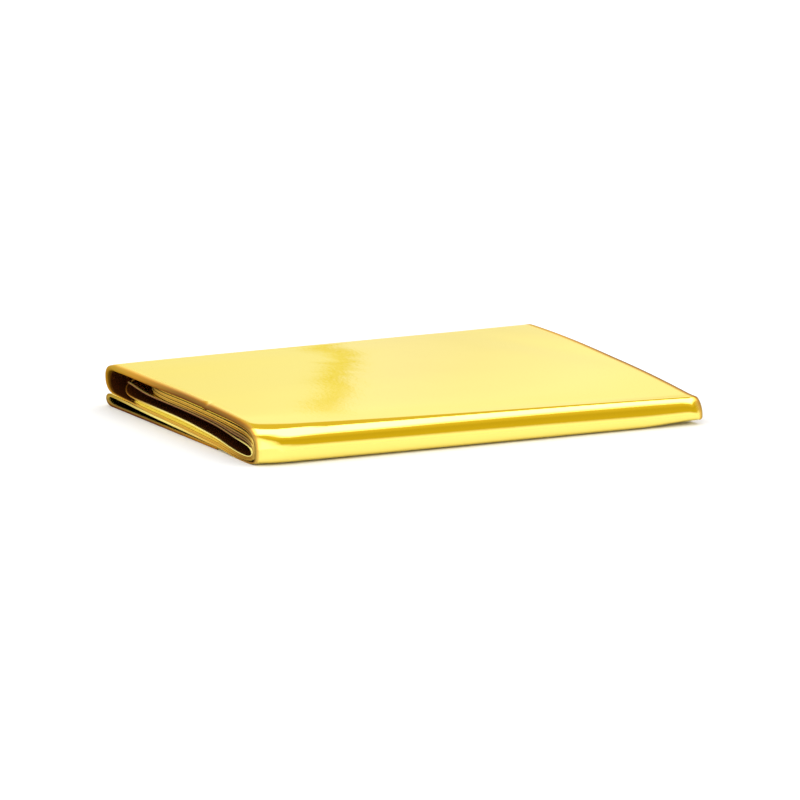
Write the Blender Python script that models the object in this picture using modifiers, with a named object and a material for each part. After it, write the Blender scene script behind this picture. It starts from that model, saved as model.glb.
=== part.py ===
"""Emergency foil blanket, folded flat into a pocket-size packet.

One sheet of metallised film is halved four times along its length into a narrow
strip, and the strip is then folded over and over into the packet. It is modelled
as that one strip, in seven layers, each layer being a bundle of film plies. From
the hidden inner end to the outer end the strip runs through these layers:

    3 pocket roof     free inner end at the back, turns down at the inner front fold
    4 pocket floor    turns up at the inner back fold, around the free end
    2 inner layer     turns down at the middle front fold
    5 leg base        turns up at the tall back fold
    1 top skin        turns down at the outer front fold
    6 underside       turns under at the low back fold
    7 tail            flat on the surface, ends free short of the front

X runs along the folded front edge, Y from that edge to the back folds, Z up.
The origin is the centre of the resting face.
"""

import math
from typing import NamedTuple

import bmesh
import bpy

MM = 0.001

# Sheet and packet
SHEET_LENGTH = 2.10
SHEET_WIDTH = 1.60
LENGTH_HALVINGS = 4
DEPTHS_IN_WIDTH = 16
PACKET_LENGTH = SHEET_LENGTH / 2**LENGTH_HALVINGS
PACKET_DEPTH = SHEET_WIDTH / DEPTHS_IN_WIDTH

# One layer is a bundle of film plies with the air that they hold
LAYER_THICKNESS = 1.0 * MM
LEAST_GAP = 0.3 * MM

# The gap columns below stand at even steps between these distances from the front edge
FIRST_COLUMN = 6.0 * MM
LAST_COLUMN = 95.0 * MM

# Free ends of the strip, and where the underside starts to climb on to the tail
INNER_END = 80.0 * MM
TAIL_END = 27.0 * MM
CLIMB_START = 8.0 * MM
CLIMB_END = 26.0 * MM

# Rounded ends of the layers
END_THINNING = 0.4
END_ROLL_LENGTH = 1.8 * MM
END_ROLL_DROP = 0.4

# Crushed left end of the front folds
PINCH_LENGTH = 6.0 * MM
PINCH_DEPTH = 0.8 * MM

RUN_STEPS = 9
TAIL_LAYER = 7

COLLECTION_NAME = "emergency_foil_blanket"
NODE_NAME = "foil_blanket"
FILM_COLOUR = (0.90, 0.66, 0.16, 1.0)
FILM_ROUGHNESS = 0.22
FILM_METALLIC = 1.0


class Layer(NamedTuple):
    """How one layer lies, in millimetres.

    The five gap columns are the air under the layer at the open left end, from the
    front to the back. The recesses say how far the layer's two ends fall short of
    the packet's length.
    """

    gap_front: float
    gap_quarter: float
    gap_middle: float
    gap_three_quarter: float
    gap_back: float
    left_recess: float
    right_recess: float


# By layer number, the top skin first
LAYERS = {
    1: Layer(0.3, 0.9, 1.1, 1.2, 0.9, left_recess=0.0, right_recess=0.0),
    2: Layer(0.3, 0.4, 1.0, 0.9, 0.4, left_recess=1.1, right_recess=0.9),
    3: Layer(1.5, 2.0, 1.5, 1.5, 1.8, left_recess=0.7, right_recess=0.5),
    4: Layer(0.3, 0.3, 0.3, 0.3, 0.3, left_recess=0.5, right_recess=0.6),
    5: Layer(0.3, 0.3, 0.3, 0.4, 0.5, left_recess=0.3, right_recess=0.4),
    6: Layer(0.3, 0.3, 0.7, 1.3, 1.9, left_recess=0.0, right_recess=0.2),
    7: Layer(0.0, 0.0, 0.0, 0.0, 0.0, left_recess=0.6, right_recess=0.7),
}
GAP_COLUMNS = 5


class Fold(NamedTuple):
    """A half round from one layer to another, in millimetres.

    It starts at the line, a distance from the packet's front edge, and reaches
    towards the back, or towards the front where the reach is negative. The lean
    moves its furthest point, 1 being half-way between the layers.
    """

    start_layer: int
    end_layer: int
    line: float
    reach: float
    lean: float
    steps: int


# In the strip's order, from its inner end to its outer end
FOLDS = (
    Fold(3, 4, line=6.0, reach=-2.8, lean=1.0, steps=7),
    Fold(4, 2, line=87.0, reach=3.2, lean=1.0, steps=7),
    Fold(2, 5, line=6.0, reach=-4.15, lean=1.0, steps=8),
    Fold(5, 1, line=94.0, reach=5.5, lean=1.5, steps=10),
    Fold(1, 6, line=6.0, reach=-5.5, lean=1.0, steps=10),
    Fold(6, 7, line=95.0, reach=4.4, lean=1.0, steps=8),
)


class Ease(NamedTuple):
    """How loosely the layers lie at a share of the packet's length."""

    place: float
    looseness: float


# Open at the left end, pressed flatter towards the right one
LOOSENESS = (
    Ease(place=0.0, looseness=1.0),
    Ease(place=0.05, looseness=0.88),
    Ease(place=0.2, looseness=0.76),
    Ease(place=0.45, looseness=0.72),
    Ease(place=0.7, looseness=0.60),
    Ease(place=0.9, looseness=0.50),
    Ease(place=1.0, looseness=0.42),
)

# Distances of the sections from the left end, in millimetres, but for the last one
SECTION_PLACES = (0.0, 0.5, 1.8, 3.6, 6.0, 12.0, 22.0, 36.0, 52.0, 70.0, 88.0, 104.0, 116.0, 124.0, 129.0, 130.7)


def eased(start: float, end: float, share: float) -> float:
    """Blend two values with a level start and finish."""
    share = min(max(share, 0.0), 1.0)
    return start + (end - start) * (1.0 - math.cos(math.pi * share)) / 2.0


def looseness_at(place: float) -> float:
    """Looseness of the layers at a share of the packet's length."""
    for left, right in zip(LOOSENESS, LOOSENESS[1:]):
        if place <= right.place:
            return eased(left.looseness, right.looseness, (place - left.place) / (right.place - left.place))
    return LOOSENESS[-1].looseness


def gap_under(layer: int, depth: float, place: float) -> float:
    """Air under a layer, at a distance from the front edge and a share of the length."""
    gaps = LAYERS[layer][:GAP_COLUMNS]
    share = (depth - FIRST_COLUMN) / (LAST_COLUMN - FIRST_COLUMN) * (GAP_COLUMNS - 1)
    share = min(max(share, 0.0), GAP_COLUMNS - 1.0)
    column = min(int(share), GAP_COLUMNS - 2)
    gap = eased(gaps[column], gaps[column + 1], share - column) * MM
    return max(LEAST_GAP, gap * looseness_at(place))


def layer_height(layer: int, depth: float, place: float) -> float:
    """Height of a layer's middle above the resting face."""
    height = LAYER_THICKNESS / 2.0
    for upper in range(TAIL_LAYER - 1, layer - 1, -1):
        step = LAYER_THICKNESS + gap_under(upper, depth, place)
        if upper == TAIL_LAYER - 1:
            step = eased(0.0, step, (depth - CLIMB_START) / (CLIMB_END - CLIMB_START))
        height += step
    return height


def end_roll(layer: int, depth: float, place: float) -> float:
    """How far the last millimetres of a layer roll down into the gap below it."""
    from_end = min(place, 1.0 - place) * PACKET_LENGTH
    share = max(0.0, 1.0 - from_end / END_ROLL_LENGTH)
    if layer >= TAIL_LAYER - 1 or share == 0.0:
        return 0.0
    spare = gap_under(layer, depth, place) - LEAST_GAP / 2.0
    return END_ROLL_DROP * spare * share**2


def pinch(place: float) -> float:
    """How far the crushed left end of the front folds lies back."""
    share = max(0.0, 1.0 - place * PACKET_LENGTH / PINCH_LENGTH)
    return PINCH_DEPTH * share**1.5


def strip_point(layer: int, depth: float, place: float) -> tuple[float, float, float]:
    """A point of a layer, from the packet's front left corner."""
    left = LAYERS[layer].left_recess * MM
    right = LAYERS[layer].right_recess * MM
    across = left + (PACKET_LENGTH - left - right) * place
    return across, depth, layer_height(layer, depth, place) - end_roll(layer, depth, place)


def run_points(layer: int, start: float, end: float, place: float) -> list[tuple[float, float, float]]:
    """Points of the flat run of one layer between two distances from the front edge."""
    return [strip_point(layer, start + (end - start) * step / RUN_STEPS, place) for step in range(RUN_STEPS + 1)]


def fold_points(fold: Fold, place: float) -> list[tuple[float, float, float]]:
    """Points of one fold, without the two that it shares with the runs."""
    line = fold.line * MM
    reach = fold.reach * MM
    if reach < 0.0:
        reach += pinch(place)
    start = strip_point(fold.start_layer, line, place)
    end = strip_point(fold.end_layer, line, place)
    points = []
    for step in range(1, fold.steps):
        angle = math.pi * step / fold.steps
        share = ((1.0 - math.cos(angle)) / 2.0) ** fold.lean
        across = start[0] + (end[0] - start[0]) * share
        height = start[2] + (end[2] - start[2]) * share
        points.append((across, line + reach * math.sin(angle), height))
    return points


def strip_section(place: float) -> list[tuple[float, float, float]]:
    """Points of the whole strip at one share of the packet's length."""
    points = []
    start = INNER_END
    for fold in FOLDS:
        points.extend(run_points(fold.start_layer, start, fold.line * MM, place))
        points.extend(fold_points(fold, place))
        start = fold.line * MM
    points.extend(run_points(TAIL_LAYER, start, TAIL_END, place))
    return points


def film_material() -> bpy.types.Material:
    """Gold metallised film."""
    material = bpy.data.materials.new("gold_film")
    material.use_nodes = True
    shader = material.node_tree.nodes["Principled BSDF"]
    shader.inputs["Base Color"].default_value = FILM_COLOUR
    shader.inputs["Roughness"].default_value = FILM_ROUGHNESS
    shader.inputs["Metallic"].default_value = FILM_METALLIC
    return material


def strip_mesh() -> bpy.types.Mesh:
    """Open surface through the sections, from the left end to the right one."""
    places = [distance * MM / PACKET_LENGTH for distance in SECTION_PLACES] + [1.0]
    shape = bmesh.new()
    rows = []
    for place in places:
        section = strip_section(place)
        rows.append([shape.verts.new((x - PACKET_LENGTH / 2.0, y - PACKET_DEPTH / 2.0, z)) for x, y, z in section])
    for row, next_row in zip(rows, rows[1:]):
        for index in range(len(row) - 1):
            shape.faces.new((row[index], row[index + 1], next_row[index + 1], next_row[index]))
    mesh = bpy.data.meshes.new(NODE_NAME)
    shape.to_mesh(mesh)
    shape.free()
    mesh.shade_smooth()
    mesh.materials.append(film_material())
    return mesh


def add_blanket(collection: bpy.types.Collection) -> bpy.types.Object:
    """The folded strip, thickened, with thinner rounded ends."""
    mesh = strip_mesh()
    blanket = bpy.data.objects.new(NODE_NAME, mesh)
    collection.objects.link(blanket)
    section_size = len(strip_section(0.0))
    total = len(mesh.vertices)
    thickness = blanket.vertex_groups.new(name="thickness")
    thickness.add(list(range(section_size, total - section_size)), 1.0, "REPLACE")
    thickness.add(list(range(section_size)), END_THINNING, "REPLACE")
    thickness.add(list(range(total - section_size, total)), END_THINNING, "REPLACE")
    solid = blanket.modifiers.new("layer_thickness", "SOLIDIFY")
    solid.thickness = LAYER_THICKNESS
    solid.offset = 0.0
    solid.use_even_offset = True
    solid.vertex_group = thickness.name
    return blanket


def main() -> None:
    """Clear the scene and build the folded blanket in its own collection."""
    for leftover in list(bpy.data.objects):
        bpy.data.objects.remove(leftover)
    collection = bpy.data.collections.new(COLLECTION_NAME)
    bpy.context.scene.collection.children.link(collection)
    add_blanket(collection)


main()
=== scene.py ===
"""Looks of the emergency foil blanket, folded flat into a pocket-size packet.

The sheet is halved lengthwise into a narrow strip, and the strip is folded over and
over into the packet. The finished piece is that one strip of film. Its hidden inner
end lies in upper layer 7, the roof of the open pocket. The inner front fold leads it
down to lower layer 7, the pocket's floor, and the inner back fold up to upper layer 6,
and so on outwards to upper layer 2 and lower layer 2. The tall back fold then leads to
upper layer 1, the top skin, the outer front fold to lower layer 1, the underside, and
the low back fold to the tail, which lies flat on the floor.

X runs along the folded front edge, Y from that edge to the back folds, Z up.
Sizes in the classes are in millimetres from the packet's front left corner.
"""

import logging
import math
from collections.abc import Sequence
from dataclasses import dataclass, field
from enum import Enum

import bpy
import numpy as np
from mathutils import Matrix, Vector


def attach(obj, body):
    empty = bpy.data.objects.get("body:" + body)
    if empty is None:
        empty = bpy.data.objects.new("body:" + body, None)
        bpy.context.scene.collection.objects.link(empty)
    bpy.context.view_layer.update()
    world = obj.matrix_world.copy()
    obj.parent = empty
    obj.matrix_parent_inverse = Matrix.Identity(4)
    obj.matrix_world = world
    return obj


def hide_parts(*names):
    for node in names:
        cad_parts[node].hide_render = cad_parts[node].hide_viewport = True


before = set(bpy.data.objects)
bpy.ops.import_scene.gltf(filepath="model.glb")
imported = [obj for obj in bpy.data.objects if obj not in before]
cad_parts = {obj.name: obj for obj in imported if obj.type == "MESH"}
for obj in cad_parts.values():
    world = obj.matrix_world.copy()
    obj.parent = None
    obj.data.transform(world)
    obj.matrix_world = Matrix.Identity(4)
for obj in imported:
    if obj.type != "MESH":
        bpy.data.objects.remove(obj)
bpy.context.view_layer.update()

LOG = logging.getLogger("foil_blanket")
MM = 0.001
PACKET_LENGTH = 131.25
PACKET_DEPTH = 100.0
# Columns of the open left end where the layers were measured, from the front edge
COLUMNS = (6.0, 15.0, 30.0, 48.0, 71.0, 86.0, 95.0)
# Least length that a direction is divided by
TINY = 1e-9

Socket = bpy.types.NodeSocket
Colour = tuple[float, float, float, float]


class Place(Enum):
    """Where a run of the strip lies in the packet."""

    UPPER = "upper"
    LOWER = "lower"
    TAIL = "tail"


class Bend(Enum):
    """Which side of the packet a fold stands on."""

    FRONT = "front"
    BACK = "back"


class Tone(Enum):
    """The film's gold, and the colours of painted shade and painted reflections on its open ends and its
    hidden inner faces.
    """

    GOLD = (0.96, 0.79, 0.185)
    # PALE to MAROON are painted reflections and painted shade for the open ends of the plies
    PALE = (0.86, 0.74, 0.22)
    YELLOW = (0.74, 0.54, 0.05)
    ORANGE = (0.60, 0.33, 0.04)
    AMBER = (0.40, 0.165, 0.010)
    OLIVE = (0.33, 0.185, 0.008)
    BROWN = (0.12, 0.032, 0.004)
    ROSE = (0.17, 0.060, 0.030)
    MAROON = (0.05, 0.008, 0.003)
    # painted shade for the hidden inner faces of the layers
    INNER_SHADE = (0.20, 0.055, 0.010)


@dataclass(frozen=True)
class Profile:
    """A smooth curve through a few measured places.

    Attributes:
        places: rising distances, in millimetres.
        values: the value at each place.
    """

    places: tuple[float, ...]
    values: tuple[float, ...]

    def at(self, where: np.ndarray) -> np.ndarray:
        """Read the curve without overshoot between its places.

        Args:
            where: distances to read it at.

        Returns:
            The values there, level beyond the first and the last place.
        """
        places = np.array(self.places)
        values = np.array(self.values)
        step = np.diff(places)
        slope = np.diff(values) / step
        tangent = np.zeros(len(places))
        for index in range(1, len(places) - 1):
            before, after = slope[index - 1], slope[index]
            if before * after > 0.0:
                tangent[index] = 2.0 * before * after / (before + after)
        tangent[0] = slope[0]
        tangent[-1] = slope[-1]
        where = np.clip(np.asarray(where, float), places[0], places[-1])
        cell = np.clip(np.searchsorted(places, where, side="right") - 1, 0, len(step) - 1)
        width = step[cell]
        share = (where - places[cell]) / width
        rise = share * share * (3.0 - 2.0 * share)
        start = share * (1.0 - share) ** 2 * width
        end = share * share * (share - 1.0) * width
        between = values[cell] + (values[cell + 1] - values[cell]) * rise
        return between + tangent[cell] * start + tangent[cell + 1] * end


def level(value: float) -> Profile:
    """A profile that is the same all along."""
    return Profile((0.0, PACKET_DEPTH), (value, value))


def along_depth(*values: float) -> Profile:
    """A profile through the measured columns of the left end."""
    return Profile(COLUMNS, values)


def soft_step(value: np.ndarray) -> np.ndarray:
    """Ease from 0 to 1, level at both ends."""
    share = np.clip(value, 0.0, 1.0)
    return share * share * (3.0 - 2.0 * share)


def bezier(corners: Sequence[np.ndarray], share: np.ndarray) -> np.ndarray:
    """Points of a cubic curve.

    Args:
        corners: its four control values, each an array along the length.
        share: places along the curve, from 0 to 1.

    Returns:
        The values, places by length.
    """
    along = share[:, None]
    back = 1.0 - along
    first, second, third, fourth = corners
    ends = first * back**3 + fourth * along**3
    return ends + 3.0 * second * along * back**2 + 3.0 * third * along**2 * back


@dataclass(frozen=True)
class PaintedEndShade:
    """Painted shade and painted reflections on the bundled plies at the strip's open ends, along the
    depth.

    Attributes:
        stops: distances from the front edge, rising, each with its painted tone.
        outer: share of bright gold at the outer lip of the bundle.
        inner: how much painted shade darkens its inner lip, from 0 to 1.
        reach: how far the painted tone runs on into both faces.
        roundness: depth of the rounded rim, as a share of half the thickness.
    """

    stops: tuple[tuple[float, Tone], ...]
    outer: float = 0.35
    inner: float = 0.45
    reach: float = 0.5
    roundness: float = 0.5

    def at(self, depth: np.ndarray) -> np.ndarray:
        """Painted shade or reflection colour of the middle of the bundle.

        Args:
            depth: distances from the front edge.

        Returns:
            A linear colour for each of them.
        """
        places = [place for place, _ in self.stops]
        colours = np.array([tone.value for _, tone in self.stops])
        return np.stack([np.interp(depth, places, band) for band in colours.T], axis=-1)

    def lips(self) -> np.ndarray:
        """The four numbers, in one row."""
        return np.array([self.outer, self.inner, self.reach, self.roundness])


@dataclass(frozen=True)
class Run:
    """One flat run of the strip.

    Attributes:
        place: the part of the packet that it belongs to.
        number: its layer there, counted from the outside in.
        thickness: of the bundle of plies, along the depth.
        gap: air under it at the open left end, along the depth.
        left: how far its left end stands back, along the depth.
        right: how far its right end stands back.
        steps: points along the run.
        tones: painted shade and reflections of its ends.
    """

    place: Place
    number: int
    thickness: Profile
    gap: Profile
    left: Profile
    right: float
    steps: int
    tones: PaintedEndShade


@dataclass(frozen=True)
class FanLayer:
    """How an upper layer shows in the fan of edges at the open left end.

    Attributes:
        drawn_back: how far its end stands back behind the fan.
        even: how far it stands back along the fan.
        front: painted shade and reflection of its end near the front.
        middle: painted shade and reflection of its end in the middle of the fan.
    """

    drawn_back: float
    even: float
    front: Tone
    middle: Tone


@dataclass(frozen=True)
class FloorLayer:
    """How the left end of a lower layer stands back.

    Attributes:
        drawn_back: near its back fold.
        even: along the rest of it.
    """

    drawn_back: float
    even: float


@dataclass(frozen=True)
class Fold:
    """A half round between two runs, with a short upright face at its tip.

    Attributes:
        bend: the side that it stands on.
        line: distance from the front edge where it starts, along the length.
        tip: distance from the front edge of its furthest point.
        face_foot: lower end of its upright face, as a share of its height, left and right.
        face_top: upper end of that face, as a share of its height, left and right.
        upper: fullness of the round over that face, at the left and right end.
        lower: fullness of the round under it, at the left and right end.
        steps: points round it.
        swell: how much thicker the bundle is at its tip.
    """

    bend: Bend
    line: Profile
    tip: float
    face_foot: tuple[float, float]
    face_top: tuple[float, float]
    upper: tuple[float, float]
    lower: tuple[float, float]
    steps: int
    swell: float = 0.0


@dataclass(frozen=True)
class Crease:
    """A soft trough or ridge pressed into the outer skin.

    Attributes:
        start: first end of its line.
        end: other end of its line.
        width: half-width of the trough.
        depth: how deep it is, below zero for a ridge.
        shallow: share of that depth that is left at its two ends.
        taper: how soon it gets deep, from its ends; less is sooner.
    """

    start: tuple[float, float, float]
    end: tuple[float, float, float]
    width: float
    depth: float
    shallow: float = 0.25
    taper: float = 0.7

    def press(self, points: np.ndarray) -> np.ndarray:
        """How far it pushes each point in.

        Args:
            points: array whose last axis is x, y, z.

        Returns:
            The push at each point, in millimetres.
        """
        start = np.array(self.start)
        along = np.array(self.end) - start
        share = np.clip(((points - start) @ along) / (along @ along), 0.0, 1.0)
        nearest = start + share[..., None] * along
        distance = np.linalg.norm(points - nearest, axis=-1)
        fade = self.shallow + (1.0 - self.shallow) * np.sin(math.pi * share) ** self.taper
        return self.depth * fade * np.exp(-((distance / self.width) ** 2))


@dataclass
class FoilStrip:
    """The folded strip of film, as one closed sheet.

    Attributes:
        name: of the finished piece.
        upper_count: upper layers, the top skin among them.
        top_left: height of the packet over the floor at its left end.
        top_right: the same at its right end.
        looseness: how loosely the layers lie, along the length.
        least_air: least share of its measured air that a gap keeps.
        climb: where the underside lifts off the floor on to the tail.
        tail_end: distance of the free outer end from the front edge.
        inner_end: distance of the free inner end from the front edge.
        fan: the upper layers from 2 on, but for the pocket's roof.
        fan_places: where the left ends of those layers were measured.
        fan_taper: how much further back they stand where the fan starts to close.
        last_at_back: how far the last of them stands back at its back fold.
        floor_layers: the lower layers from 2 on.
        front_line: distance from the front edge where the front folds start, along the length.
        front_tip: distance from the front edge of the tip of the second front fold.
        front_tip_step: how much further back each front fold inside it has its tip.
        back_line: distance from the front edge where the second back fold starts.
        back_line_step: how much further forward each back fold inside it starts.
        back_tip: distance from the front edge of the tip of the second back fold.
        back_tip_step: how much further forward each back fold inside it has its tip.
        upper_share: share of a fold's points that lie over its upright face.
        pinch: how far the crushed left end of the front folds lies back.
        pinch_length: how far along the front fold that reaches.
        pinch_taper: how soon it fades along it.
        corner_dip: how far the top skin drops at the front left corner.
        dip_length: how far along the length that reaches.
        dip_middle: distance of its deepest line from the front edge.
        dip_width: how far across the depth it reaches.
        corner_lift: how far the underside rises at the front right corner.
        lift_start: distance from the left end where that rise starts.
        lift_length: length that it takes to rise.
        lift_back: distance from the front edge behind which there is no rise.
        lift_width: depth that it takes to rise.
        roll: how far the left rim of the top skin rolls down.
        roll_width: width of that rolled rim.
        roll_run_out: a fold's length over the length in which the roll fades out.
        end_arc: angles of the rounded ends of the layers, in degrees.
        end_rows: further rows near each end, as distances from it.
        stations: even rows along the length.
        smoothing: how often the path is eased.
        warm_fade: how fast red, green and blue fall off towards a rim, into its painted shade.
        rim_mirror: how much of a mirror the rims are, kept low so that their painted shade shows.
        face_mirror: how much more of one the outer face is.
        inner_shade_loss: how much less of a mirror the hidden inner faces are, under their painted shade.
        mirror_fade: how fast the mirror falls off towards a rim.
        creases: what is pressed into the outer skin.
        runs: the runs of the strip, by place and number.
    """

    name: str = "foil_film"
    upper_count: int = 7
    top_left: Profile = along_depth(9.7, 10.5, 11.1, 11.6, 11.75, 11.95, 11.9)
    top_right: Profile = along_depth(7.1, 8.2, 9.8, 11.3, 12.8, 13.4, 13.6)
    looseness: Profile = Profile(
        places=(0.0, 6.5, 26.0, 59.0, 92.0, 118.0, 131.25),
        values=(1.0, 0.90, 0.72, 0.50, 0.29, 0.10, 0.0),
    )
    least_air: float = 0.1
    climb: tuple[float, float] = (11.0, 26.0)
    tail_end: float = 27.0
    inner_end: float = 84.0
    fan: tuple[FanLayer, ...] = (
        FanLayer(drawn_back=5.2, even=0.45, front=Tone.ORANGE, middle=Tone.YELLOW),
        FanLayer(drawn_back=6.4, even=0.22, front=Tone.ORANGE, middle=Tone.ORANGE),
        FanLayer(drawn_back=7.2, even=0.50, front=Tone.AMBER, middle=Tone.ORANGE),
        FanLayer(drawn_back=6.0, even=0.30, front=Tone.ROSE, middle=Tone.AMBER),
        FanLayer(drawn_back=6.8, even=0.45, front=Tone.ROSE, middle=Tone.ROSE),
    )
    fan_places: tuple[float, ...] = (0.0, 54.0, 70.0, 83.0, 86.0, 95.0)
    fan_taper: float = 1.2
    last_at_back: float = 0.9
    floor_layers: tuple[FloorLayer, ...] = (
        FloorLayer(drawn_back=0.0, even=0.22),
        FloorLayer(drawn_back=5.0, even=0.12),
        FloorLayer(drawn_back=6.0, even=0.26),
        FloorLayer(drawn_back=6.6, even=0.14),
        FloorLayer(drawn_back=5.6, even=0.24),
        FloorLayer(drawn_back=0.7, even=0.10),
    )
    front_line: Profile = Profile(
        places=(0.0, 5.0, 13.0, 60.0, 131.25),
        values=(11.0, 9.2, 7.8, 5.4, 3.9),
    )
    front_tip: float = 1.0
    front_tip_step: float = 0.33
    back_line: float = 89.6
    back_line_step: float = 1.5
    back_tip: float = 96.4
    back_tip_step: float = 1.6
    upper_share: float = 0.58
    pinch: float = 2.1
    pinch_length: float = 7.5
    pinch_taper: float = 1.5
    corner_dip: float = 0.3
    dip_length: float = 7.0
    dip_middle: float = 3.0
    dip_width: float = 8.0
    corner_lift: float = 0.8
    lift_start: float = 112.0
    lift_length: float = 19.0
    lift_back: float = 20.0
    lift_width: float = 16.0
    roll: float = 0.75
    roll_width: float = 2.6
    roll_run_out: float = 3.0
    end_arc: tuple[float, ...] = (10.0, 30.0, 52.0, 74.0)
    end_rows: tuple[float, ...] = (0.0, 0.45, 1.0, 1.7, 2.6, 3.8, 5.3, 7.0)
    stations: int = 56
    smoothing: int = 1
    warm_fade: tuple[float, float, float] = (0.9, 1.7, 3.0)
    rim_mirror: float = 0.10
    face_mirror: float = 0.90
    inner_shade_loss: float = 0.20
    mirror_fade: float = 1.5
    creases: tuple[Crease, ...] = (
        Crease(start=(6.1, 1.0, 7.2), end=(6.9, 0.7, 0.8), width=0.55, depth=0.20),
        Crease(start=(0.5, 2.0, 6.4), end=(22.0, 4.4, 8.4), width=1.2, depth=0.12),
        Crease(start=(0.3, 2.2, 2.2), end=(9.6, 0.6, 5.0), width=0.9, depth=0.20),
        Crease(start=(0.0, 33.2, 10.0), end=(2.2, 34.8, 10.6), width=0.75, depth=0.45),
        Crease(start=(66.0, 12.0, 9.0), end=(112.0, 60.0, 11.5), width=12.0, depth=0.09),
        Crease(start=(104.0, 96.0, 12.9), end=(129.0, 40.0, 10.9), width=8.0, depth=0.16),
        Crease(start=(128.6, 3.4, 6.8), end=(129.6, 0.2, 3.0), width=0.8, depth=0.28),
    )
    runs: dict[tuple[Place, int], Run] = field(default_factory=dict)

    def __post_init__(self) -> None:
        """Set out every run of the strip."""
        runs = [self.top_skin(), self.pocket_roof(), self.underside(), self.tail()]
        runs += [self.fan_layer(number) for number in range(2, self.upper_count)]
        runs += [self.floor_layer(number) for number in range(2, self.upper_count + 1)]
        self.runs.update({(run.place, run.number): run for run in runs})

    @staticmethod
    def uneven(number: int, least: float, step: float) -> float:
        """How far the right end of a layer stands back, in three places by turns."""
        return least + step * (number % 3)

    def top_skin(self) -> Run:
        """Upper layer 1, whose left rim shows its painted shade widest.

        Returns:
            The run.
        """
        return Run(
            place=Place.UPPER,
            number=1,
            thickness=along_depth(0.55, 0.75, 1.0, 1.1, 1.15, 1.15, 1.15),
            gap=along_depth(0.30, 0.36, 0.45, 0.48, 0.75, 0.5, 0.4),
            left=level(0.0),
            right=0.0,
            steps=56,
            # painted shade and reflections along its left rim
            tones=PaintedEndShade(
                stops=((4.0, Tone.BROWN), (50.0, Tone.BROWN), (80.0, Tone.AMBER), (94.0, Tone.OLIVE)),
                outer=0.10,
                inner=0.6,
                reach=1.9,
                roundness=1.0,
            ),
        )

    def fan_layer(self, number: int) -> Run:
        """One of the upper layers between the top skin and the pocket's roof.

        Args:
            number: of the layer, from 2 on.

        Returns:
            The run.
        """
        layer = self.fan[number - 2]
        last = number == self.upper_count - 1
        even = layer.even
        at_back = self.last_at_back if last else layer.drawn_back
        # painted shade and reflections along its left end, darkest where it hides in the fan
        stops = (
            (5.0, Tone.MAROON), (14.0, layer.front), (32.0, layer.middle), (64.0, Tone.ORANGE),
            (74.0, Tone.MAROON), (84.0, Tone.MAROON),
        )
        if last:
            stops = (*stops, (88.0, Tone.AMBER))
        return Run(
            place=Place.UPPER,
            number=number,
            thickness=along_depth(0.40, 0.38, 0.34, 0.33, 0.28, 0.18, 0.16),
            gap=along_depth(0.22, 0.24, 0.20, 0.20, 0.20, 0.08, 0.07),
            left=Profile(
                self.fan_places,
                (even, even, even + self.fan_taper, layer.drawn_back, at_back, at_back),
            ),
            right=self.uneven(number, least=0.5, step=0.15),
            steps=24,
            tones=PaintedEndShade(stops=stops, outer=0.25, inner=0.5),
        )

    def pocket_roof(self) -> Run:
        """The innermost upper layer, thin over the open pocket.

        Returns:
            The run.
        """
        return Run(
            place=Place.UPPER,
            number=self.upper_count,
            thickness=along_depth(0.24, 0.26, 0.30, 0.32, 0.32, 0.28, 0.26),
            gap=along_depth(1.75, 2.0, 2.55, 2.3, 2.5, 3.6, 3.6),
            left=level(0.15),
            right=0.5,
            steps=24,
            # painted shade along its left end, pale near the front
            tones=PaintedEndShade(
                stops=((9.0, Tone.PALE), (16.0, Tone.ROSE), (86.0, Tone.ROSE)), outer=0.2, inner=0.3
            ),
        )

    def underside(self) -> Run:
        """Lower layer 1, which climbs from the floor on to the tail.

        Returns:
            The run.
        """
        return Run(
            place=Place.LOWER,
            number=1,
            thickness=along_depth(0.40, 0.42, 0.52, 0.60, 0.62, 0.64, 0.64),
            gap=along_depth(0.02, 0.05, 0.32, 0.80, 1.50, 2.05, 2.50),
            left=level(0.0),
            right=0.2,
            steps=30,
            # painted shade and reflections along its left end
            tones=PaintedEndShade(
                stops=((6.0, Tone.BROWN), (24.0, Tone.ORANGE), (60.0, Tone.PALE), (97.0, Tone.OLIVE)),
                outer=0.4,
                inner=0.1,
            ),
        )

    def floor_layer(self, number: int) -> Run:
        """One of the lower layers over the underside.

        Args:
            number: of the layer, from 2 on, the last being the pocket's floor.

        Returns:
            The run.
        """
        layer = self.floor_layers[number - 2]
        even = layer.even
        under = along_depth(0.02, 0.02, 0.02, 0.02, 0.02, 0.04, 0.07)
        if number == 2:
            under = along_depth(0.04, 0.04, 0.05, 0.06, 0.10, 0.35, 0.55)
        return Run(
            place=Place.LOWER,
            number=number,
            thickness=along_depth(0.19, 0.20, 0.33, 0.40, 0.36, 0.26, 0.24),
            gap=under,
            left=Profile(
                (0.0, 70.0, 82.0, 88.0, 95.0),
                (even, even, even, layer.drawn_back, layer.drawn_back),
            ),
            right=self.uneven(number, least=0.35, step=0.12),
            steps=20,
            tones=PaintedEndShade(
                stops=self.floor_stops(number), outer=0.3, inner=0.25, reach=0.5, roundness=0.35
            ),
        )

    def floor_stops(self, number: int) -> tuple[tuple[float, Tone], ...]:
        """Painted shade and reflections along the left end of a lower layer.

        Args:
            number: of the layer, from 2 on.

        Returns:
            Distances from the front edge, each with its painted tone.
        """
        # painted shade, darkest near the back fold, and painted reflections between
        if number == self.upper_count:
            return (4.0, Tone.PALE), (60.0, Tone.PALE), (82.0, Tone.AMBER), (90.0, Tone.ROSE)
        body = Tone.YELLOW if number > 3 else Tone.ORANGE
        at_fold = (94.0, Tone.AMBER) if number == 2 else (88.0, Tone.MAROON)
        return (5.0, Tone.BROWN), (18.0, Tone.ORANGE), (36.0, body), (80.0, body), at_fold

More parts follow.
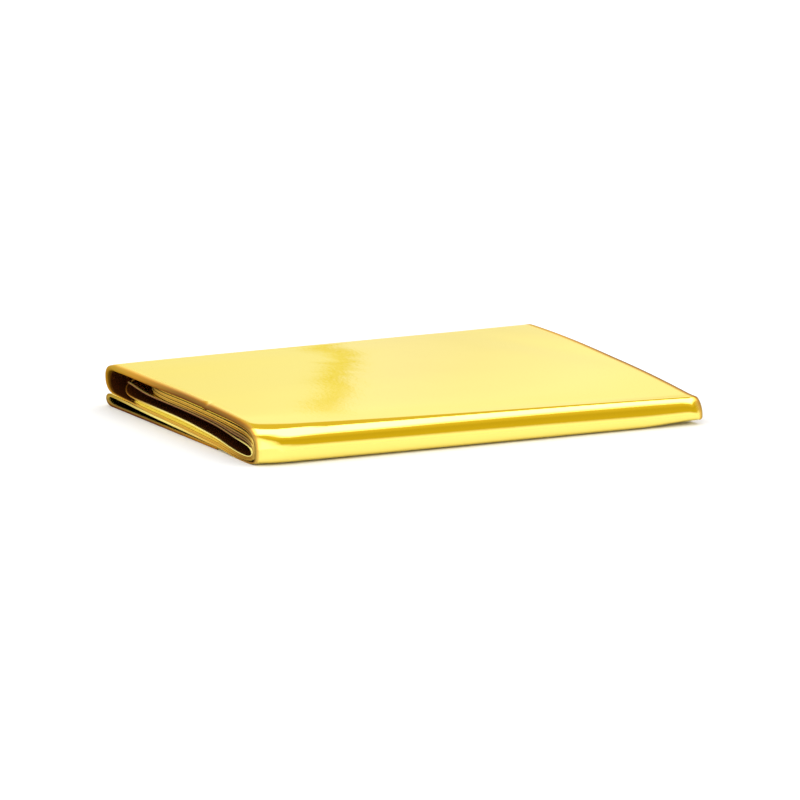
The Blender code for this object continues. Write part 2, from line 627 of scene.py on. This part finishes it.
    def tail(self) -> Run:
        """The outer end of the strip, flat on the floor.

        Returns:
            The run.
        """
        return Run(
            place=Place.TAIL,
            number=1,
            thickness=level(0.72),
            gap=level(0.0),
            left=level(0.5),
            right=0.6,
            steps=14,
            # painted shade along its left end
            tones=PaintedEndShade(
                stops=((30.0, Tone.AMBER), (70.0, Tone.BROWN), (98.0, Tone.BROWN)), outer=0.2, inner=0.5
            ),
        )

    def front_fold(self, number: int) -> Fold:
        """The front fold of a layer.

        Args:
            number: of the layer, the outermost fold being 1.

        Returns:
            Its shape.
        """
        if number == 1:
            return Fold(
                bend=Bend.FRONT,
                line=self.front_line,
                tip=0.42,
                face_foot=(0.20, 0.20),
                face_top=(0.36, 0.28),
                upper=(0.60, 0.46),
                lower=(0.78, 0.60),
                steps=38,
            )
        return Fold(
            bend=Bend.FRONT,
            line=self.front_line,
            tip=self.front_tip + self.front_tip_step * (number - 2),
            face_foot=(0.34, 0.34),
            face_top=(0.40, 0.38),
            upper=(0.60, 0.56),
            lower=(0.70, 0.60),
            steps=12,
        )

    def back_fold(self, number: int) -> Fold:
        """The tall back fold or one of those inside it.

        Args:
            number: of the fold, the tall one being 1.

        Returns:
            Its shape.
        """
        if number == 1:
            return Fold(
                bend=Bend.BACK,
                line=level(93.0),
                tip=98.95,
                face_foot=(0.52, 0.52),
                face_top=(0.62, 0.62),
                upper=(0.60, 0.60),
                lower=(0.60, 0.60),
                steps=22,
                swell=1.0,
            )
        return Fold(
            bend=Bend.BACK,
            line=level(self.back_line - self.back_line_step * (number - 2)),
            tip=self.back_tip - self.back_tip_step * (number - 2),
            face_foot=(0.47, 0.47),
            face_top=(0.53, 0.53),
            upper=(0.60, 0.60),
            lower=(0.60, 0.60),
            steps=10,
        )

    def low_fold(self) -> Fold:
        """The fold between the underside and the tail.

        Returns:
            Its shape.
        """
        return Fold(
            bend=Bend.BACK,
            line=level(95.0),
            tip=99.2,
            face_foot=(0.48, 0.48),
            face_top=(0.54, 0.54),
            upper=(0.60, 0.60),
            lower=(0.60, 0.60),
            steps=16,
            swell=0.6,
        )

    def order(self) -> list[tuple[Place, int]]:
        """Runs from the bottom up.

        Returns:
            The place and number of each.
        """
        lower = [(Place.LOWER, number) for number in range(1, self.upper_count + 1)]
        upper = [(Place.UPPER, number) for number in range(self.upper_count, 0, -1)]
        return [(Place.TAIL, 1)] + lower + upper

    def skin_height(self, depth: np.ndarray, length: np.ndarray) -> np.ndarray:
        """Height of the packet's top over the floor.

        Args:
            depth: distances from the front edge.
            length: distances from the left end, of the same shape.

        Returns:
            The height at those points.
        """
        loose = self.looseness.at(length)
        right = self.top_right.at(depth)
        top = right + (self.top_left.at(depth) - right) * loose
        near_left = np.exp(-((length / self.dip_length) ** 2))
        near_front = np.exp(-(((depth - self.dip_middle) / self.dip_width) ** 2))
        return top - self.corner_dip * near_left * near_front

    def heights(self, depth: np.ndarray, length: np.ndarray) -> dict[tuple[Place, int], np.ndarray]:
        """Heights of the middle of every run.

        Args:
            depth: distances from the front edge.
            length: distances from the left end, of the same shape.

        Returns:
            The height at those points, for each run.
        """
        lift = soft_step((depth - self.climb[0]) / (self.climb[1] - self.climb[0]))
        tail = self.runs[(Place.TAIL, 1)].thickness.at(depth)
        to_right = soft_step((length - self.lift_start) / self.lift_length)
        corner = self.corner_lift * to_right * soft_step((self.lift_back - depth) / self.lift_width)
        solid = lift * tail + corner
        air = np.zeros_like(solid)
        for key in self.order()[1:]:
            run = self.runs[key]
            weight = lift if key == (Place.LOWER, 1) else 1.0
            solid = solid + run.thickness.at(depth)
            air = air + weight * run.gap.at(depth)
        scale = np.maximum((self.skin_height(depth, length) - solid) / air, self.least_air)
        middle = {(Place.TAIL, 1): tail / 2.0}
        ground = lift * tail + corner
        for key in self.order()[1:]:
            run = self.runs[key]
            weight = lift if key == (Place.LOWER, 1) else 1.0
            ground = ground + scale * weight * run.gap.at(depth)
            thick = run.thickness.at(depth)
            middle[key] = ground + thick / 2.0
            ground = ground + thick
        return middle

    def run_path(
        self, key: tuple[Place, int], start: Profile, end: Profile, length: np.ndarray
    ) -> dict[str, np.ndarray]:
        """One run between two distances from the front edge.

        Args:
            key: which run.
            start: where it begins, along the length.
            end: where it stops, along the length.
            length: distance of each section from the left end.

        Returns:
            Arrays along the run: its depth and height, its thickness, how far its ends
            stand back, whether it is outer skin, whether its rim rolls down, whether its
            inner side is hidden and so painted in shade, and the painted shade tones and lips of its
            ends.
        """
        run = self.runs[key]
        first = start.at(length)[None, :]
        last = end.at(length)[None, :]
        grid = first + (last - first) * np.linspace(0.0, 1.0, run.steps)[:, None]
        depth = grid[:, 0]
        skin = 1.0 if key == (Place.UPPER, 1) else 0.0
        hidden = 0.0 if key in ((Place.LOWER, 1), (Place.TAIL, 1)) else 1.0
        return {
            "depth": grid,
            "height": self.heights(grid, np.broadcast_to(length, grid.shape))[key],
            "thick": run.thickness.at(depth),
            "left": run.left.at(depth),
            "right": np.full(run.steps, run.right),
            "skin": np.full(run.steps, skin),
            "rolled": np.full(run.steps, skin),
            "hidden": np.full(run.steps, hidden),
            "tone": run.tones.at(depth),
            "lips": np.tile(run.tones.lips(), (run.steps, 1)),
        }

    def fold_tip(self, fold: Fold, length: np.ndarray) -> np.ndarray:
        """How far a fold reaches from its line, along the length.

        Args:
            fold: its shape.
            length: distance of each section from the left end.

        Returns:
            The reach, below zero towards the front.
        """
        reach = fold.tip - fold.line.at(length)
        if fold.bend is Bend.FRONT:
            near = np.clip(1.0 - length / self.pinch_length, 0.0, 1.0)
            reach = reach + self.pinch * near**self.pinch_taper
        return reach

    def fold_round(
        self, fold: Fold, before: dict[str, np.ndarray], after: dict[str, np.ndarray], length: np.ndarray
    ) -> tuple[np.ndarray, np.ndarray]:
        """The half round between two runs, in line with both.

        Args:
            fold: its shape.
            before: the run that it follows.
            after: the run that it leads to.
            length: distance of each section from the left end.

        Returns:
            Depth and height, points round the fold by length.
        """
        share = length / PACKET_LENGTH
        line = fold.line.at(length)
        reach = self.fold_tip(fold, length)
        high_first = before["height"][-1].mean() > after["height"][0].mean()
        over, under = (before, after) if high_first else (after, before)
        here_over, here_under = (-1, 0) if high_first else (0, -1)
        next_over, next_under = (-2, 1) if high_first else (1, -2)
        top = over["height"][here_over]
        foot = under["height"][here_under]
        top_slope = (top - over["height"][next_over]) / (line - over["depth"][next_over])
        foot_slope = (foot - under["height"][next_under]) / (line - under["depth"][next_under])
        foot_share, top_share, full, low = (
            left + (right - left) * share
            for left, right in (fold.face_foot, fold.face_top, fold.upper, fold.lower)
        )
        face_foot = foot + (top - foot) * foot_share
        face_top = foot + (top - foot) * top_share
        tip = line + reach
        upper_round = (
            (line, line + reach * full, tip, tip),
            (top, top + top_slope * reach * full, face_top + (top - face_top) * full, face_top),
        )
        lower_round = (
            (tip, tip, line + reach * low, line),
            (face_foot, face_foot + (foot - face_foot) * low, foot + foot_slope * reach * low, foot),
        )
        upper_count = round(fold.steps * self.upper_share) + 1
        lower_count = round(fold.steps * (1.0 - self.upper_share)) + 1
        upper_steps = np.linspace(0.0, 1.0, upper_count)[1:]
        lower_steps = np.linspace(0.0, 1.0, lower_count)[:-1]
        depth, height = (
            np.concatenate([bezier(upper, upper_steps), bezier(lower, lower_steps)])
            for upper, lower in zip(upper_round, lower_round)
        )
        if high_first:
            return depth, height
        return depth[::-1], height[::-1]

    def fold_path(
        self, fold: Fold, before: dict[str, np.ndarray], after: dict[str, np.ndarray], length: np.ndarray
    ) -> dict[str, np.ndarray]:
        """A fold, with the thickness, ends and tones blended between its two runs.

        Args:
            fold: its shape.
            before: the run that it follows.
            after: the run that it leads to.
            length: distance of each section from the left end.

        Returns:
            Arrays as run_path gives them.
        """
        depth, height = self.fold_round(fold, before, after, length)
        count = len(depth)
        blend = np.linspace(0.0, 1.0, count + 2)[1:-1]
        path = {"depth": depth, "height": height}
        for name in ("thick", "left", "right", "hidden", "tone", "lips"):
            first, last = before[name][-1], after[name][0]
            weight = blend.reshape((-1,) + (1,) * np.ndim(first))
            path[name] = first + (last - first) * weight
        path["thick"] = path["thick"] + fold.swell * np.sin(math.pi * blend)
        outside = 1.0 in (before["skin"][-1], after["skin"][0])
        path["skin"] = np.full(count, 1.0 if outside else 0.0)
        leaving = before["rolled"][-1] * (1.0 - self.roll_run_out * blend)
        arriving = after["rolled"][0] * (1.0 - self.roll_run_out * (1.0 - blend))
        path["rolled"] = np.clip(leaving, 0.0, 1.0) + np.clip(arriving, 0.0, 1.0)
        return path

    def path(self, length: np.ndarray) -> dict[str, np.ndarray]:
        """The whole strip, from its inner end to its outer one.

        Args:
            length: distance of each section from the left end.

        Returns:
            Arrays as run_path gives them, joined in order.
        """
        pieces = []
        folds = []
        start = level(self.inner_end)
        for number in range(self.upper_count, 0, -1):
            front = self.front_fold(number)
            pieces.append(self.run_path((Place.UPPER, number), start, front.line, length))
            folds.append(front)
            back = self.low_fold() if number == 1 else self.back_fold(number - 1)
            pieces.append(self.run_path((Place.LOWER, number), front.line, back.line, length))
            folds.append(back)
            start = back.line
        pieces.append(self.run_path((Place.TAIL, 1), start, level(self.tail_end), length))
        whole = [pieces[0]]
        for fold, before, after in zip(folds, pieces, pieces[1:]):
            whole.append(self.fold_path(fold, before, after, length))
            whole.append(after)
        return {name: np.concatenate([part[name] for part in whole]) for name in whole[0]}

    def lengthways(self) -> np.ndarray:
        """Distances of the sections from the left end, closer together near both ends.

        Returns:
            The distances, rising.
        """
        near = np.array(self.end_rows)
        between = np.linspace(near[-1], PACKET_LENGTH - near[-1], self.stations)[1:-1]
        return np.concatenate([near, between, PACKET_LENGTH - near[::-1]])

    def middle_surface(self) -> tuple[np.ndarray, np.ndarray, dict[str, np.ndarray]]:
        """The strip's middle surface.

        Returns:
            Points (along the strip, along the length, xyz), half the thickness there,
            and the path's other arrays.
        """
        length = self.lengthways()
        path = self.path(length)
        for _ in range(self.smoothing):
            for name in ("depth", "height", "thick", "left", "right", "tone", "lips"):
                values = path[name]
                inner = (values[:-2] + 2.0 * values[1:-1] + values[2:]) / 4.0
                path[name] = np.concatenate([values[:1], inner, values[-1:]])
        half = path["thick"] / 2.0
        rim = (half * path["lips"][:, 3])[:, None]
        arc = np.radians(self.end_arc)
        rounded = rim * (1.0 - np.cos(arc))[None, :]
        left = path["left"][:, None]
        right = PACKET_LENGTH - path["right"][:, None]
        flat_start = left + rim
        flat_end = right - rim
        across = flat_start + (flat_end - flat_start) * length[None, :] / PACKET_LENGTH
        across = np.concatenate([left + rounded, across, (right - rounded)[:, ::-1]], axis=1)
        pad = ((0, 0), (len(arc), len(arc)))
        depth = np.pad(path["depth"], pad, mode="edge")
        height = np.pad(path["height"], pad, mode="edge")
        path["fullness"] = np.concatenate([np.sin(arc), np.ones(len(length)), np.sin(arc)[::-1]])
        path["from_end"] = np.minimum(across - left, right - across)
        rolled = np.clip(1.0 - across / self.roll_width, 0.0, 1.0) ** 2
        height = height - self.roll * rolled * path["rolled"][:, None]
        return np.stack([across, depth, height], axis=-1), half[:, None] * path["fullness"][None, :], path

    @staticmethod
    def normals(points: np.ndarray) -> np.ndarray:
        """Unit normals of a grid of points, pointing into the roll.

        Args:
            points: along the strip, along the length, xyz.

        Returns:
            A normal for each point.
        """
        along = np.gradient(points, axis=0)
        across = np.gradient(points, axis=1)
        normal = np.cross(across, along)
        return normal / np.maximum(np.linalg.norm(normal, axis=-1, keepdims=True), TINY)

    def tints(self, path: dict[str, np.ndarray], outer_face: bool) -> np.ndarray:
        """Colour of one face of the strip at each of its points: its gold, with painted shade and painted
        reflections at the open ends and painted shade on the hidden inner faces.

        Args:
            path: the strip's arrays.
            outer_face: whether it is the face turned out of the roll.

        Returns:
            Linear colours and, as a fourth value, how much of a mirror the film is there.
        """
        gold = np.array(Tone.GOLD.value)
        # Hidden inner faces get painted shade and less mirror.
        shaded_inside = (0.0 if outer_face else 1.0) * path["hidden"][:, None, None]
        face = gold + (np.array(Tone.INNER_SHADE.value) - gold) * shaded_inside
        bundle = path["tone"][:, None, :]
        outer, inner, reach, roundness = np.split(path["lips"][:, None, :], 4, axis=-1)
        full = path["fullness"][None, :, None]
        # Rims take the painted end tones: a brighter outer lip and painted shade on the inner lip.
        lip = bundle + (gold - bundle) * outer if outer_face else bundle * (1.0 - inner)
        ends = bundle + (lip - bundle) * full**2
        inward = path["from_end"][..., None] - 0.5 * path["thick"][:, None, None] * roundness
        fade = soft_step(inward / reach) * (full >= 1.0)
        colour = ends + (face - ends) * fade ** np.array(self.warm_fade)
        mirror = self.rim_mirror + (self.face_mirror - self.inner_shade_loss * shaded_inside) * fade**self.mirror_fade
        return np.concatenate([colour, mirror], axis=-1)

    def mesh(self) -> bpy.types.Mesh:
        """Both faces of the strip and its rim, as one closed mesh.

        Returns:
            The mesh, in metres, in the packet's own frame.
        """
        points, half, path = self.middle_surface()
        push = sum(crease.press(points) for crease in self.creases) * path["skin"][:, None]
        points = points + self.normals(points) * push[..., None]
        normal = self.normals(points)
        inner = points + normal * half[..., None]
        outer = points - normal * half[..., None]
        rows, columns = half.shape
        shift = np.array([PACKET_LENGTH / 2.0, PACKET_DEPTH / 2.0, 0.0])
        vertices = (np.concatenate([inner.reshape(-1, 3), outer.reshape(-1, 3)]) - shift) * MM
        grid = np.arange(rows * columns).reshape(rows, columns)
        other = grid + rows * columns
        faces = [self.quads(grid), self.quads(other)[:, ::-1]]
        for first, second in (
            (grid[0], other[0]), (other[-1], grid[-1]),
            (other[:, 0], grid[:, 0]), (grid[:, -1], other[:, -1]),
        ):
            faces.append(np.stack([first[:-1], second[:-1], second[1:], first[1:]], axis=1))
        mesh = bpy.data.meshes.new(self.name)
        mesh.from_pydata(vertices.tolist(), [], np.concatenate(faces).tolist())
        # face colours, with painted shade and reflections at the rims and painted shade on the hidden
        # inner faces
        colours = np.concatenate([self.tints(path, outer_face=False), self.tints(path, outer_face=True)])
        tint = mesh.color_attributes.new("tint", "FLOAT_COLOR", "POINT")
        tint.data.foreach_set("color", colours.ravel())
        mesh.update()
        return mesh

    @staticmethod
    def quads(grid: np.ndarray) -> np.ndarray:
        """Faces between neighbouring rows and columns of vertex numbers."""
        corners = (grid[:-1, :-1], grid[:-1, 1:], grid[1:, 1:], grid[1:, :-1])
        return np.stack([corner.ravel() for corner in corners], axis=1)

    def build(self) -> bpy.types.Object:
        """Make the piece, turn its faces outwards and shade it smooth.

        Returns:
            The finished object.
        """
        piece = bpy.data.objects.new(self.name, self.mesh())
        bpy.context.scene.collection.objects.link(piece)
        bpy.ops.object.select_all(action="DESELECT")
        piece.select_set(True)
        bpy.context.view_layer.objects.active = piece
        bpy.ops.object.mode_set(mode="EDIT")
        bpy.ops.mesh.select_all(action="SELECT")
        bpy.ops.mesh.normals_make_consistent(inside=False)
        bpy.ops.object.mode_set(mode="OBJECT")
        bpy.ops.object.shade_smooth()
        return piece


@dataclass(frozen=True)
class Wiring:
    """Adds nodes to a node tree and links them.

    Attributes:
        tree: the node tree.
    """

    tree: bpy.types.NodeTree

    def add(self, kind: str) -> bpy.types.Node:
        """Add a node of a kind."""
        return self.tree.nodes.new(kind)

    def feed(self, socket: Socket, value: Socket | float | Sequence[float]) -> None:
        """Give an input its value, or link it to another node.

        Args:
            socket: the input.
            value: a number, a colour, a direction or another node's output.
        """
        if isinstance(value, Socket):
            self.tree.links.new(value, socket)
        else:
            socket.default_value = value

    def calculate(self, operation: str, first: Socket | float, second: Socket | float) -> Socket:
        """Work with two numbers.

        Args:
            operation: what is done with them.
            first: the first number.
            second: the second number.

        Returns:
            The result.
        """
        node = self.add("ShaderNodeMath")
        node.operation = operation
        for socket, value in zip(node.inputs, (first, second)):
            self.feed(socket, value)
        return node.outputs["Value"]

    def towards(self, ray: Socket, direction: tuple[float, float, float]) -> Socket:
        """How far a ray goes in a direction.

        Args:
            ray: the ray.
            direction: of length 1.

        Returns:
            The distance, for a ray of length 1.
        """
        node = self.add("ShaderNodeVectorMath")
        node.operation = "DOT_PRODUCT"
        self.feed(node.inputs[0], ray)
        self.feed(node.inputs[1], direction)
        return node.outputs["Value"]

    def blend(self, kind: str, factor: Socket, first: Socket | Colour, second: Socket | Colour) -> Socket:
        """Mix two colours.

        Args:
            kind: of mixing.
            factor: share of the second colour.
            first: the first colour.
            second: the second colour.

        Returns:
            The mixed colour.
        """
        node = self.add("ShaderNodeMix")
        node.data_type = "RGBA"
        node.blend_type = kind
        colours = [socket for socket in node.inputs if socket.type == "RGBA"]
        for socket, value in zip((node.inputs[0], *colours), (factor, first, second)):
            self.feed(socket, value)
        return next(socket for socket in node.outputs if socket.type == "RGBA")

    def ramp(self, where: Socket, stops: Sequence[tuple[float, Sequence[float]]]) -> Socket:
        """Read a row of colours.

        Args:
            where: the place to read it at, from 0 to 1.
            stops: places, rising, each with its red, green and blue.

        Returns:
            The colour there.
        """
        node = self.add("ShaderNodeValToRGB")
        elements = node.color_ramp.elements
        given = len(elements)
        for index, (position, colour) in enumerate(stops):
            stop = elements[index] if index < given else elements.new(position)
            stop.position = position
            stop.color = (*colour, 1.0)
        self.feed(node.inputs["Fac"], where)
        return node.outputs["Color"]


@dataclass(frozen=True)
class Crinkle:
    """One size of the film's crinkle.

    Attributes:
        scale: how many bumps to the metre.
        strength: how strongly they turn the light.
        height: of the bumps, in metres.
    """

    scale: float
    strength: float
    height: float


@dataclass(frozen=True)
class GoldFilm:
    """Gold metallised film: mirror bright, with a fine crinkle.

    Attributes:
        name: of the material.
        edge_tint: colour that it keeps at grazing view.
        polish: its roughness.
        unmirrored_gloss: gloss of the bundled plies at its ends.
        detail: how finely each crinkle is broken up.
        crinkles: its three sizes of crinkle, the widest first.
    """

    name: str = "gold_film"
    edge_tint: Colour = (1.0, 0.97, 0.76, 1.0)
    polish: float = 0.05
    unmirrored_gloss: float = 0.0
    detail: float = 2.5
    crinkles: tuple[Crinkle, ...] = (
        Crinkle(scale=38.0, strength=0.03, height=0.002),
        Crinkle(scale=170.0, strength=0.015, height=0.0006),
        Crinkle(scale=1100.0, strength=0.035, height=0.0002),
    )

    def material(self) -> bpy.types.Material:
        """Build the node tree.

        Returns:
            The material.
        """
        material = bpy.data.materials.new(self.name)
        material.use_nodes = True
        wiring = Wiring(material.node_tree)
        shader = material.node_tree.nodes["Principled BSDF"]
        shader.inputs["Specular Tint"].default_value = self.edge_tint
        shader.inputs["Roughness"].default_value = self.polish
        shader.inputs["Specular IOR Level"].default_value = self.unmirrored_gloss
        tint = wiring.add("ShaderNodeVertexColor")
        tint.layer_name = "tint"
        # The tint attribute holds the film's gold with painted shade and reflections at its ends and
        # inside; its alpha lowers the metal at the rims so that the painted shade shows.
        wiring.feed(shader.inputs["Base Color"], tint.outputs["Color"])
        wiring.feed(shader.inputs["Metallic"], tint.outputs["Alpha"])
        place = wiring.add("ShaderNodeTexCoord").outputs["Object"]
        bump = None
        for crinkle in self.crinkles:
            noise = wiring.add("ShaderNodeTexNoise")
            noise.inputs["Scale"].default_value = crinkle.scale
            noise.inputs["Detail"].default_value = self.detail
            wiring.feed(noise.inputs["Vector"], place)
            finer = wiring.add("ShaderNodeBump")
            finer.inputs["Strength"].default_value = crinkle.strength
            finer.inputs["Distance"].default_value = crinkle.height
            wiring.feed(finer.inputs["Height"], noise.outputs["Fac"])
            if bump is not None:
                wiring.feed(finer.inputs["Normal"], bump.outputs["Normal"])
            bump = finer
        wiring.feed(shader.inputs["Normal"], bump.outputs["Normal"])
        return material


@dataclass(frozen=True)
class FloorPaper:
    """Plain pale paper of the floor.

    Attributes:
        name: of the material.
        colour: of the paper.
        roughness: of its surface.
        gloss: of its surface.
    """

    name: str = "floor_paper"
    colour: Colour = (0.86, 0.86, 0.85, 1.0)
    roughness: float = 0.9
    gloss: float = 0.1

    def material(self) -> bpy.types.Material:
        """Build the node tree.

        Returns:
            The material.
        """
        material = bpy.data.materials.new(self.name)
        material.use_nodes = True
        shader = material.node_tree.nodes["Principled BSDF"]
        shader.inputs["Base Color"].default_value = self.colour
        shader.inputs["Roughness"].default_value = self.roughness
        shader.inputs["Specular IOR Level"].default_value = self.gloss
        return material


@dataclass(frozen=True)
class Glow:
    """Light of the walls at one height.

    Attributes:
        share: of the half turn from the far horizon, over the packet, to the near one.
        brightness: of the wall there.
        warmth: from white at 0 to the warm colour at 1.
    """

    share: float
    brightness: float
    warmth: float


@dataclass(frozen=True)
class Stand:
    """One tone in the row of stands beyond the packet.

    Attributes:
        aside: its distance sideways over its distance ahead.
        colour: what it does to the light of the wall.
    """

    aside: float
    colour: tuple[float, float, float]


@dataclass
class Studio:
    """Plain pale floor, soft light and the camera.

    Attributes:
        azimuth: view to the left of square on, in degrees.
        elevation: view above level, in degrees.
        distance: from the camera to the packet, in metres.
        lens: focal length, in millimetres.
        sensor: width of the camera's sensor, in millimetres.
        aim: the point in the middle of the picture.
        floor_side: side of the floor, in metres.
        fill: soft even light on everything that isn't a mirror.
        warm: colour of the warm walls.
        sky: what the film mirrors, from the far horizon over the packet and down
            behind the camera.
        stands: narrow warm stands beyond the packet, mirrored as soft streaks.
        stands_span: sideways place at either end of that list.
        stands_lean: how far they lean to the right, for each half turn of height.
        stands_top: where they start to fade and where they end, as shares of the half turn.
        side_strength: brightness of the soft light at the left.
        side_light: its spread, as degrees round from behind the camera and its share.
    """

    azimuth: float = -27.1
    elevation: float = 10.3
    distance: float = 1.084
    lens: float = 180.0
    sensor: float = 36.0
    aim: tuple[float, float, float] = (0.0, 0.0, 0.004)
    floor_side: float = 6.0
    fill: float = 1.42
    warm: tuple[float, float, float] = (1.0, 0.74, 0.05)
    sky: tuple[Glow, ...] = (
        Glow(share=0.0, brightness=0.98, warmth=0.14),
        Glow(share=0.066, brightness=1.01, warmth=0.10),
        Glow(share=0.079, brightness=1.03, warmth=0.04),
        Glow(share=0.10, brightness=1.13, warmth=0.0),
        Glow(share=0.14, brightness=1.13, warmth=0.0),
        Glow(share=0.165, brightness=0.78, warmth=0.9),
        Glow(share=0.28, brightness=0.78, warmth=0.9),
        Glow(share=0.305, brightness=3.5, warmth=0.0),
        Glow(share=0.425, brightness=3.5, warmth=0.0),
        Glow(share=0.51, brightness=0.85, warmth=0.95),
        Glow(share=0.62, brightness=0.62, warmth=1.0),
        Glow(share=0.80, brightness=0.70, warmth=1.0),
        Glow(share=0.90, brightness=1.25, warmth=0.0),
        Glow(share=1.0, brightness=1.25, warmth=0.0),
    )
    stands: tuple[Stand, ...] = (
        Stand(aside=-0.1, colour=(0.98, 0.96, 0.70)),
        Stand(aside=-0.045, colour=(1.0, 1.0, 0.76)),
        Stand(aside=-0.0115, colour=(1.0, 1.02, 0.86)),
        Stand(aside=-0.0068, colour=(0.91, 0.81, 0.10)),
        Stand(aside=-0.0048, colour=(0.86, 0.74, 0.03)),
        Stand(aside=-0.0028, colour=(1.02, 1.04, 1.02)),
        Stand(aside=0.01, colour=(1.0, 1.0, 1.0)),
        Stand(aside=0.03, colour=(0.98, 0.98, 0.92)),
        Stand(aside=0.06, colour=(1.0, 1.02, 1.02)),
        Stand(aside=0.1, colour=(0.96, 0.94, 0.65)),
    )
    stands_span: float = 0.1
    stands_lean: float = 0.8
    stands_top: tuple[float, float] = (0.080, 0.118)
    side_strength: float = 1.9
    side_light: tuple[tuple[float, float], ...] = (
        (-180.0, 0.0), (-150.0, 0.0), (-125.0, 1.0), (20.0, 1.0), (42.0, 0.0), (180.0, 0.0),
    )

    def floor(self) -> bpy.types.Object:
        """Lay the floor, with its top at the packet's resting face.

        Returns:
            The floor.
        """
        bpy.ops.object.select_all(action="DESELECT")
        bpy.ops.mesh.primitive_plane_add(size=self.floor_side, location=(0.0, 0.0, 0.0))
        floor = bpy.context.object
        floor.name = "floor"
        floor.data.materials.append(FloorPaper().material())
        return floor

    @property
    def peak(self) -> float:
        """Brightness of the brightest wall, by which every light's colour is divided."""
        return max(glow.brightness for glow in self.sky)

    def grey(self, brightness: float) -> Colour:
        """A colourless light of a brightness, divided by the peak."""
        value = brightness / self.peak
        return (value, value, value, 1.0)

    def walls(self, wiring: Wiring, share: Socket) -> Socket:
        """Light of the walls and ceiling, band over band.

        Args:
            wiring: of the world.
            share: height of the ray, as a share of the half turn.

        Returns:
            The colour that it meets.
        """
        bands = [
            (
                glow.share,
                [glow.brightness / self.peak * (1.0 + (band - 1.0) * glow.warmth) for band in self.warm],
            )
            for glow in self.sky
        ]
        return wiring.ramp(share, bands)

    def behind_stands(self, wiring: Wiring, share: Socket, sideways: Socket, walls: Socket) -> Socket:
        """Put the low stands in front of the far wall.

        Args:
            wiring: of the world.
            share: height of the ray, as a share of the half turn.
            sideways: how far it goes aside, over how far it goes ahead.
            walls: light of the walls.

        Returns:
            The colour that the ray meets.
        """
        start, end = self.stands_top
        lean = wiring.calculate("MULTIPLY", wiring.calculate("SUBTRACT", share, start), self.stands_lean)
        upright = wiring.calculate("SUBTRACT", sideways, lean)
        scaled = wiring.calculate("MULTIPLY", upright, 0.5 / self.stands_span)
        colours = wiring.ramp(
            wiring.calculate("ADD", scaled, 0.5),
            [(0.5 + 0.5 * stand.aside / self.stands_span, stand.colour) for stand in self.stands],
        )
        low = wiring.add("ShaderNodeMapRange")
        low.inputs["From Min"].default_value = start
        low.inputs["From Max"].default_value = end
        low.inputs["To Min"].default_value = 1.0
        low.inputs["To Max"].default_value = 0.0
        wiring.feed(low.inputs["Value"], share)
        return wiring.blend("MULTIPLY", low.outputs["Result"], walls, colours)

    def beside(self, wiring: Wiring, ahead: Socket, aside: Socket) -> Socket:
        """Spread of the soft light at the left.

        Args:
            wiring: of the world.
            ahead: how far the ray goes away from the camera.
            aside: how far it goes to the right.

        Returns:
            The share of that light in what the ray meets.
        """
        angle = wiring.calculate("ARCTAN2", aside, wiring.calculate("MULTIPLY", ahead, -1.0))
        turns = wiring.calculate("DIVIDE", angle, 2.0 * math.pi)
        return wiring.ramp(
            wiring.calculate("ADD", turns, 0.5),
            [(0.5 + degrees / 360.0, (light,) * 3) for degrees, light in self.side_light],
        )

    def light(self) -> None:
        """Light the studio from its walls and ceiling.

        What the film mirrors has bright, warm and pale bands. All else gets one soft
        even light.
        """
        world = bpy.data.worlds.new("studio")
        world.use_nodes = True
        bpy.context.scene.world = world
        wiring = Wiring(world.node_tree)
        ray = wiring.add("ShaderNodeTexCoord").outputs["Generated"]
        turn = math.radians(self.azimuth)
        ahead = wiring.towards(ray, (-math.sin(turn), math.cos(turn), 0.0))
        aside = wiring.towards(ray, (math.cos(turn), math.sin(turn), 0.0))
        up = wiring.towards(ray, (0.0, 0.0, 1.0))
        share = wiring.calculate("DIVIDE", wiring.calculate("ARCTAN2", up, ahead), math.pi)
        sideways = wiring.calculate("DIVIDE", aside, ahead)
        mirrored = self.behind_stands(wiring, share, sideways, self.walls(wiring, share))
        side = self.grey(self.side_strength)
        mirrored = wiring.blend("MIX", self.beside(wiring, ahead, aside), mirrored, side)
        rays = wiring.add("ShaderNodeLightPath")
        colour = wiring.blend("MIX", rays.outputs["Is Glossy Ray"], self.grey(self.fill), mirrored)
        background = world.node_tree.nodes["Background"]
        wiring.feed(background.inputs["Color"], colour)
        background.inputs["Strength"].default_value = self.peak

    def camera(self) -> bpy.types.Object:
        """Stand the camera where the photograph was taken from.

        Returns:
            The camera.
        """
        data = bpy.data.cameras.new("camera")
        data.lens = self.lens
        data.sensor_width = self.sensor
        camera = bpy.data.objects.new("camera", data)
        bpy.context.scene.collection.objects.link(camera)
        turn = math.radians(self.azimuth)
        rise = math.radians(self.elevation)
        flat = math.cos(rise)
        back = Vector((math.sin(turn) * flat, -math.cos(turn) * flat, math.sin(rise)))
        camera.location = Vector(self.aim) + back * self.distance
        camera.rotation_euler = (-back).to_track_quat("-Z", "Y").to_matrix().to_euler()
        bpy.context.scene.camera = camera
        bpy.context.scene.view_settings.view_transform = "Standard"
        return camera


def main() -> None:
    """Build the packet and then the studio round it."""
    logging.basicConfig(level=logging.INFO, format="%(message)s")
    piece = FoilStrip().build()
    piece.data.materials.append(GoldFilm().material())
    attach(piece, "root")
    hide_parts("foil_blanket")
    LOG.info("%s: %d faces", piece.name, len(piece.data.polygons))
    studio = Studio()
    floor = studio.floor()
    LOG.info("%s: %.0f m wide", floor.name, studio.floor_side)
    studio.light()
    studio.camera()


if __name__ == "__main__":
    main()
